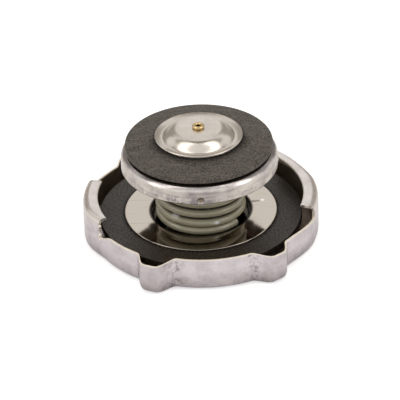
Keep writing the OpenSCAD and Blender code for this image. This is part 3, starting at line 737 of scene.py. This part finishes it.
class CAP_OT_disc(bpy.types.Operator):
    """Build the polished retaining disc with its well and pip"""

    bl_idname = "radiator_cap.disc"
    bl_label = "Retaining disc"

    def execute(self, context):
        s = stack_sizes()
        out, low, sheet = reach_of("retaining_disc"), foot_of("retaining_disc"), s.disc_sheet
        floor, face = low + sheet, top_of("top_gasket") + sheet
        crest, lip = s.well + s.well_slope, 0.25 * MM
        steep = np.linspace(s.well, crest, 21)
        gentle = np.linspace(crest, out - lip, 61)[1:]
        wall = floor + (face + s.collar - floor) * smooth((steep - s.well) / s.well_slope)
        fall = face + s.collar * (1 - smooth((gentle - crest) / s.collar_slope))
        top = np.stack([np.concatenate([steep, gentle]), np.concatenate([wall, fall])], -1)
        roll = arc(out - lip, face - lip, lip, 90, 0, 6)[1:]
        under = np.stack([gentle, fall - sheet], -1)[gentle > crest + 1.1 * sheet]
        under_wall = np.stack([steep + sheet, wall - sheet], -1)
        outline = np.concatenate([[[s.shank_hole, floor]], top, roll, [[out, face - sheet]], under[::-1],
                                  under_wall[::-1], [[s.shank_hole, low]]])
        angles = np.linspace(0, 2 * np.pi, 3 * s.around // 2, endpoint=False)
        placed = turned(outline, angles)
        centre = s.pip_at * np.array([math.cos(s.pip_turn), math.sin(s.pip_turn)])
        off = np.linalg.norm(placed[..., :2] - centre, axis=-1) / s.pip
        # The pip is worn low, because the photo shows hardly more than a glint.
        pip_rise = 0.3 * (top_of("retaining_disc") - face)
        placed[..., 2] += np.where(placed[..., 2] > face - 0.5 * sheet, pip_rise * (1 - smooth(off)), 0)
        piece = put("polished_disc", placed, grid_faces(len(angles), len(outline), True, True), sharp=50)

        def painted_dark(x, y, z):
            """Painted shade in the well and on its collar, a painted shadow streak from there to the pip, and a
            painted dark reflection in front.
            """
            well = 1 - smooth((np.hypot(x, y) - crest - 0.1 * MM) / (0.6 * MM))
            along = x * math.cos(s.pip_turn) + y * math.sin(s.pip_turn)
            aside = y * math.cos(s.pip_turn) - x * math.sin(s.pip_turn)
            left = np.clip((s.pip_at - 0.4 * s.pip - along) / (4 * MM), 0, 1)
            shadow_streak = np.where(along > 0, np.exp(-(aside / (0.25 * MM + 0.5 * MM * left)) ** 2), 0)
            # A painted dark reflection in front, where the disc mirrors the dark stack.
            film = smooth((-y / np.hypot(x, y) - 0.62) / 0.15)
            return np.maximum.reduce([well, 0.75 * shadow_streak * smooth(6 * left), 0.55 * film])

        def painted_glint(x, y, z):
            """A painted glint on the pip's top."""
            return 1 - smooth(np.hypot(x - centre[0], y - centre[1]) / (0.7 * s.pip))

        mark(piece, painted_dark, painted_glint)
        metal = polished_sheet("mirror polished steel", finish("disc"))
        settle(piece, metal, "inner", "retaining_disc")
        return {"FINISHED"}


def coil(name, radius, wire, low, high, turns, start, closed, steps, sides):
    """A left-hand helix of round wire: its height climbs about one wire a turn in the closed ends, and evenly
    between them. The wire's circle is swept along it, and a small dome closes each end."""
    mid = radius - wire / 2
    rise = high - low - wire
    close = 1.03 * wire
    slope = (rise - 2 * closed * close) / (turns - 2 * closed)
    t = np.linspace(0, turns, int(turns * steps) + 1)
    z = (low + wire / 2 + close * np.minimum(t, closed) + slope * np.clip(t - closed, 0, turns - 2 * closed)
         + close * np.maximum(0, t - turns + closed))
    a = start - 2 * np.pi * t
    b = np.linspace(0, 2 * np.pi, sides, endpoint=False)
    tilt = math.atan2(slope, 2 * np.pi * mid)
    lids = np.array([0, 0.7, 0.93, 1])
    size = np.concatenate([lids, np.ones(len(t) - 2), lids[::-1]])
    push = wire * np.concatenate([[0, 0, 0.03, 0.1], np.zeros(len(t) - 2), [-0.1, -0.03, 0, 0]])
    where = np.concatenate([[0] * 4, np.arange(1, len(t) - 1), [len(t) - 1] * 4])
    out = mid + wire / 2 * size[:, None] * np.cos(b)
    up = wire / 2 * size[:, None] * np.sin(b)
    angle = (a[where] - push / mid)[:, None]
    points = np.stack([out * np.cos(angle) - up * math.sin(tilt) * np.sin(angle),
                       out * np.sin(angle) + up * math.sin(tilt) * np.cos(angle),
                       z[where][:, None] + up * math.cos(tilt)], -1)
    return put(name, points, grid_faces(points.shape[0], sides, False, True), sharp=50)


class CAP_OT_springs(bpy.types.Operator):
    """Wind the painted pressure spring and the light vacuum spring"""

    bl_idname = "radiator_cap.springs"
    bl_label = "Springs"

    def execute(self, context):
        s = stack_sizes()
        low, high = foot_of("pressure_spring"), top_of("pressure_spring")
        reach = reach_of("pressure_spring")
        piece = coil("pressure_coil", reach, s.wire, low, high, s.spring_turns, s.spring_turn, 1, 72, 28)
        inner_edge = reach - 0.55 * s.wire

        def painted_dark(x, y, z):
            """Painted shade on the sides of the wire that face the next coil."""
            return 1 - smooth((np.hypot(x, y) - inner_edge) / (0.3 * s.wire))

        def painted_glint(x, y, z):
            """Two painted glints at the front, each with its direction, half its width in degrees and its height.
            """
            angle, tall = np.degrees(np.arctan2(y, x)), 0.6 * MM
            spots = [(-127, 4, 12.1 * MM), (-71, 5, 10.5 * MM)]
            near = [np.exp(-((angle - a) / wide) ** 2 - ((z - rise) / tall) ** 2) for a, wide, rise in spots]
            return smooth(2 * np.maximum(*near) - 0.6)

        mark(piece, painted_dark, painted_glint)
        paint = spring_paint("dipped spring enamel", finish("paint"))
        settle(piece, paint, "inner", "pressure_spring")
        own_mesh(piece)
        low, high = foot_of("vacuum_spring"), top_of("vacuum_spring")
        reach = reach_of("vacuum_spring")
        piece = coil("vacuum_coil", reach, s.light_wire, low, high, s.light_turns, 0, 0.8, 48, 14)
        steel = turned_steel("plain spring steel", finish("plating"), 0.25)
        settle(piece, steel, "valve", "vacuum_spring")
        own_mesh(piece)
        return {"FINISHED"}


def seat_height(radius, s):
    """Height of the seal's seat on the valve cup: flat in the middle, then a cone down to the edge."""
    web = top_of("pressure_seal") - s.seal_sheet
    return web - s.seal_drop * np.maximum(0, radius - s.seat) / (reach_of("pressure_seal") - s.seat)


class CAP_OT_valve_cup(bpy.types.Operator):
    """Build the valve cup with its rounded shoulder and the dent in its skirt"""

    bl_idname = "radiator_cap.valve_cup"
    bl_label = "Valve cup"

    def execute(self, context):
        s = stack_sizes()
        out, foot = reach_of("valve_cup"), foot_of("valve_cup")
        wall_in, inset = out - s.cup_sheet, out - s.shoulder_width
        web = top_of("pressure_seal") - s.seal_sheet
        spring = seat_height(inset, s) - s.cup_fall - s.shoulder
        edge = s.cup_sheet / 2
        climb = np.linspace(foot + edge, foot + 2.4 * MM, 22)
        b = np.linspace(0, np.pi / 2, 17)
        quarter = np.stack([np.cos(b), np.sin(b)], -1)
        outer = quarter * [s.shoulder_width, s.shoulder] + [inset, spring]
        inner = quarter * [s.shoulder_width - s.cup_sheet, s.shoulder - s.cup_sheet] + [inset, spring]
        outline = np.concatenate([
            arc(out - edge, foot + edge, edge, 180, 360, 8),
            np.stack([np.full_like(climb, out), climb], -1)[1:], outer,
            [[s.seat, web], [s.web_bore, web], [s.web_bore, web - s.cup_sheet], [s.seat, web - s.cup_sheet]],
            inner[::-1], np.stack([np.full_like(climb, wall_in), climb], -1)[:0:-1]])
        front = -np.pi / 2
        near = np.linspace(-1.3, 1.3, 53) * s.dent / out
        far = np.linspace(near[-1], near[0] + 2 * np.pi, s.around)[1:-1]
        angles = np.concatenate([near, far])
        aside = np.where(np.cos(angles) > 0, out * np.sin(angles), 1)[:, None]
        away = aside ** 2 + (outline[None, :, 1] - foot - s.dent_rise) ** 2
        push = np.sqrt(np.maximum(0, s.dent ** 2 - away)) - s.dent + s.dent_depth
        push = np.where(outline[None, :, 0] > wall_in - 0.1 * MM, np.maximum(0, push), 0)
        section = np.stack([outline[None, :, 0] - push, np.broadcast_to(outline[None, :, 1], push.shape)], -1)
        faces = grid_faces(len(angles), len(outline), True, True)
        piece = put("valve_cup_shell", turned(section, front + angles), faces)

        def inside(x, y, z):
            """The hollow under the cup, where the sheet is rougher and painted dark as shade."""
            radius = np.hypot(x, y)
            across = np.clip((radius - inset) / (s.shoulder_width - 0.5 * s.cup_sheet), 0, 1)
            skin = spring + (s.shoulder - 0.5 * s.cup_sheet) * np.sqrt(1 - across ** 2)
            fall = s.cup_fall * np.clip((radius - s.seat) / (inset - s.seat), 0, 1)
            below = np.where(radius < inset, seat_height(radius, s) - fall - 0.5 * s.cup_sheet, skin)
            return np.where((radius < out - 0.7 * s.cup_sheet) & (z < below), 1, 0)

        def scuff(x, y, z):
            """Handling marks along the skirt's edge, most of all at the front left."""
            left = np.exp(-((x + 7 * MM) / (6 * MM)) ** 2)
            return smooth(1.2 - (z - foot) / (3 * MM)) * (0.4 + 0.9 * left)

        def painted_shade(x, y, z):
            """Painted shade at the top of the shoulder, close to the seal, and a painted dark reflection down the
            middle of the front.
            """
            up = (z - spring) / s.shoulder
            # A painted dark reflection down the middle of the front.
            film = np.where(y < 0, np.exp(-(x / (6 * MM)) ** 2), 0) * smooth(1.5 - 2 * up)
            return 0.6 * smooth(3 * up - 1.6) + 0.55 * film

        mark(piece, inside, scuff, painted_shade)
        metal = stainless_sheet("drawn satin sheet", finish("cup"), smudged=0.55, brushed=0.35, rough=0.18)
        settle(piece, metal, "valve", "valve_cup")
        return {"FINISHED"}


class CAP_OT_seal(bpy.types.Operator):
    """Build the rubber pressure seal"""

    bl_idname = "radiator_cap.seal"
    bl_label = "Pressure seal"

    def execute(self, context):
        s = stack_sizes()
        out = reach_of("pressure_seal")
        radii = np.array([s.seal_bore, *np.linspace(s.seat, out - s.seal_bevel, 12), out])
        seat = seat_height(radii, s)
        bevel = np.where(radii < out, 0, s.seal_bevel)
        corners = [*zip(radii, seat + bevel), *zip(radii[::-1], (seat + s.seal_sheet - bevel)[::-1])]
        piece = revolved("seal_disc", rounded(corners, 0.3 * MM))

        def painted_shadow(x, y, z):
            """A painted shadow ring round the dish's lip, widest in front of it."""
            past = np.hypot(x, y) - reach_of("vacuum_dish")
            return 0.75 * np.exp(-(past / np.where(y < 0, 1.6 * MM, 0.6 * MM)) ** 2)

        mark(piece, painted_shadow)
        rubber = dark_rubber("scratched seal rubber", finish("seal"), speckle=0.8, scratched=0.8, shine=0.25,
                             rough=0.5)
        settle(piece, rubber, "valve", "pressure_seal")
        return {"FINISHED"}


class CAP_OT_dish(bpy.types.Operator):
    """Build the domed dish of the vacuum valve"""

    bl_idname = "radiator_cap.dish"
    bl_label = "Vacuum dish"

    def execute(self, context):
        s = stack_sizes()
        out, low = reach_of("vacuum_dish"), foot_of("vacuum_dish") + s.dish_sheet
        radii = np.linspace(s.neck + 0.02 * MM, out - 0.05 * MM, 72)
        lip = s.dish_lip * (np.maximum(0, radii - s.dish_foot) / (out - s.dish_foot)) ** 1.5
        out_from = np.clip((radii - s.dish_crown) / (s.dish_foot - s.dish_crown), 0, 1)
        shoulder = s.dish_shoulder * (1 - smooth(out_from ** s.dish_swell))
        crown = s.dish_rise * np.maximum(0, 1 - (radii / s.dish_foot) ** 2)
        top = np.stack([radii, low + lip + shoulder + crown], -1)
        roll = arc(top[-1, 0] - 0.2 * MM, top[-1, 1] - s.dish_sheet / 2, s.dish_sheet / 2, 90, -90, 8)
        outline = np.concatenate([top[:-1], roll, (top[:-1] - [0, s.dish_sheet])[::-1]])
        metal = turned_steel("satin turned stainless", finish("dish"), 0.2)
        settle(revolved("domed_dish", outline, 60), metal, "vacuum", "vacuum_dish")
        return {"FINISHED"}


class CAP_OT_stem(bpy.types.Operator):
    """Build the brass stem with its rolled eyelet"""

    bl_idname = "radiator_cap.stem"
    bl_label = "Vacuum stem"

    def execute(self, context):
        s = stack_sizes()
        low, high = foot_of("vacuum_stem"), top_of("vacuum_stem")
        seat = high - s.eyelet_rise
        under = seat - s.dish_sheet
        roll = s.eyelet_rise / 2
        foot, foot_rise, bore = reach_of("vacuum_stem"), 0.8 * MM, 5 * MM
        body = rounded([[foot, low], [foot, low + foot_rise], [s.stem, low + foot_rise], [s.stem, under],
                        [s.neck, under], [s.neck, seat]], 0.12 * MM)[3:-3]
        outline = np.concatenate([[[0, low]], body, arc(s.eyelet - roll, seat + roll, roll, -90, 90, 12),
                                  arc(s.stem_bore + roll, seat + roll, roll, 90, 180, 8),
                                  [[s.stem_bore, high - bore], [0, high - bore]]])
        brass = turned_steel("rolled brass", finish("brass"), 0.18)
        settle(revolved("brass_stem", outline), brass, "vacuum", "vacuum_stem")
        return {"FINISHED"}


class CAP_OT_inner_metal(bpy.types.Operator):
    """Finish the plated steel pieces inside the cap, which keep their solid shapes"""

    bl_idname = "radiator_cap.inner_metal"
    bl_label = "Inner metal"

    def execute(self, context):
        plated = turned_steel("zinc plated steel", finish("plating"), 0.2)
        brass = turned_steel("plain brass", finish("brass"), 0.25)
        finishes = {"swivel_washer": plated, "centre_rivet": plated, "guide_cup": plated,
                    "valve_plunger": plated, "spring_retainer": brass}
        for name, metal in finishes.items():
            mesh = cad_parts[name].data
            mesh.materials.clear()
            mesh.materials.append(metal)
        return {"FINISHED"}


def card(name, paper, corners):
    """A flat sheet of the studio between four corners, which is no piece of the cap."""
    mesh = bpy.data.meshes.new(name)
    mesh.from_pydata(corners, [], [(0, 1, 2, 3)])
    mesh.materials.append(paper)
    show(name, mesh)


def posed(place, across, above, back):
    """The matrix of a lamp or camera at a place, from its rightward, upward and backward directions."""
    return Matrix.Translation(place) @ Matrix((across, above, back)).transposed().to_4x4()


class CAP_OT_stage(bpy.types.Operator):
    """Set up the pale floor, the soft light, the white surroundings and the camera"""

    bl_idname = "radiator_cap.stage"
    bl_label = "Stage"

    def execute(self, context):
        studio = context.scene.cap_studio
        context.scene.view_settings.view_transform = "Standard"
        self.floor()
        self.softboxes(studio)
        self.cards()
        self.surroundings(studio)
        self.camera(studio)
        return {"FINISHED"}

    def floor(self):
        """A wide pale sheet under the cap, white to the eye, on which the cap's shadow stays."""
        reach, glow, mirrored_glow = 6, 0.5, 0.16
        made, tree, shader, _ = material("pale studio paper", Base_Color=finish("floor"),
                                         Emission_Color=WHITE, **MATT)
        path = node(tree, "LightPath").outputs
        mirrored = maths(tree, "ADD", path["Is Glossy Ray"], path["Is Transmission Ray"], held=True)
        lit = maths(tree, "MULTIPLY", path["Is Camera Ray"], glow)
        feed(tree, shader, Emission_Strength=maths(tree, "MULTIPLY_ADD", mirrored, mirrored_glow, lit))
        card("studio_floor", made, [(x * reach, y * reach, 0) for x, y in ((-1, -1), (1, -1), (1, 1), (-1, 1))])

    def softboxes(self, studio):
        """Two long softboxes that meet above the cap and spread apart towards the front."""
        for side in (-1, 1):
            lamp = bpy.data.lights.new("softbox", "AREA")
            lamp.shape = "RECTANGLE"
            lamp.size, lamp.size_y = 0.34, 1.1
            lamp.energy = studio.softbox
            lamp.color = finish("lamp")[:3]
            high, near = Vector((0.1 * side, 0.16, 0.95)), Vector((side, -0.48, 0.42))
            middle = (high + near) / 2
            away = middle.normalized()
            across = (high - near).cross(away).normalized()
            show("softbox", lamp).matrix_world = posed(middle, across, away.cross(across), away)

    def cards(self):
        """A grey strip of ceiling, and two pale flats that leave a white gap behind the cap."""
        wide, high, deep, back, gap = 1.3, 1.15, 0.55, 1.2, 0.25
        grey = material("grey studio ceiling", Base_Color=finish("ceiling"), **MATT)[0]
        card("studio_ceiling", grey,
             [(-wide, deep, high), (wide, deep, high), (wide, 0, high), (-wide, 0, high)])
        pale = material("pale studio flat", Base_Color=finish("flat"), **MATT)[0]
        for side in (-1, 1):
            near, far = gap * side, wide * side
            card("studio_flat", pale, [(near, back, 0), (far, back, 0), (far, back, high), (near, back, high)])

    def surroundings(self, studio):
        """White to the eye and in reflections, and an even light on what is dull."""
        world = bpy.data.worlds.new("white studio")
        bpy.context.scene.world = world
        world.use_nodes = True
        tree = world.node_tree
        back = tree.nodes["Background"]
        back.inputs["Color"].default_value = WHITE
        path = node(tree, "LightPath").outputs
        seen = maths(tree, "ADD", path["Is Camera Ray"], path["Is Glossy Ray"], held=True)
        seen = maths(tree, "ADD", seen, path["Is Transmission Ray"], held=True)
        feed(tree, back, Strength=ramp(tree, seen, 0, 1, studio.ambient, 1))

    def camera(self, studio):
        """A long lens that looks down on the cap from the front, with the roll of the photograph."""
        lens = bpy.data.cameras.new("camera")
        lens.lens = studio.lens
        lens.sensor_width = 36
        e, r = studio.elevation, studio.roll
        right, up = Vector((1, 0, 0)), Vector((0, math.sin(e), math.cos(e)))
        back = Vector((0, -math.cos(e), math.sin(e)))
        across = math.cos(r) * right - math.sin(r) * up
        above = math.sin(r) * right + math.cos(r) * up
        camera = show("camera", lens)
        camera.matrix_world = posed(Vector(studio.aim) + studio.distance * back, across, above, back)
        bpy.context.scene.camera = camera


STEPS = (CAP_OT_shell, CAP_OT_gasket, CAP_OT_disc, CAP_OT_springs, CAP_OT_valve_cup, CAP_OT_seal, CAP_OT_dish,
         CAP_OT_stem, CAP_OT_inner_metal, CAP_OT_stage)
GROUPS = {"cap_shell": ShellSizes, "cap_stack": StackSizes, "cap_colours": Colours, "cap_studio": Studio}


class CAP_PT_panel(bpy.types.Panel):
    """The cap's pieces and sizes in the 3D view's sidebar"""

    bl_idname = "CAP_PT_panel"
    bl_label = "Radiator cap"
    bl_space_type = "VIEW_3D"
    bl_region_type = "UI"
    bl_category = "Radiator cap"

    def draw(self, context):
        for step in STEPS:
            self.layout.operator(step.bl_idname)
        for name, group in GROUPS.items():
            box = self.layout.box()
            for field in group.__annotations__:
                box.prop(getattr(context.scene, name), field)


def register():
    """Add the cap's sizes, steps and panel to Blender."""
    for name, group in GROUPS.items():
        bpy.utils.register_class(group)
        setattr(bpy.types.Scene, name, PointerProperty(type=group))
    for step in (*STEPS, CAP_PT_panel):
        bpy.utils.register_class(step)


def unregister():
    """Take the cap's sizes, steps and panel out of Blender."""
    for step in (CAP_PT_panel, *reversed(STEPS)):
        bpy.utils.unregister_class(step)
    for name, group in GROUPS.items():
        delattr(bpy.types.Scene, name)
        bpy.utils.unregister_class(group)


def main():
    """Register the sidebar and build the cap step by step."""
    register()
    for step in STEPS:
        area, name = step.bl_idname.split(".")
        getattr(getattr(bpy.ops, area), name)()


if __name__ == "__main__":
    main()
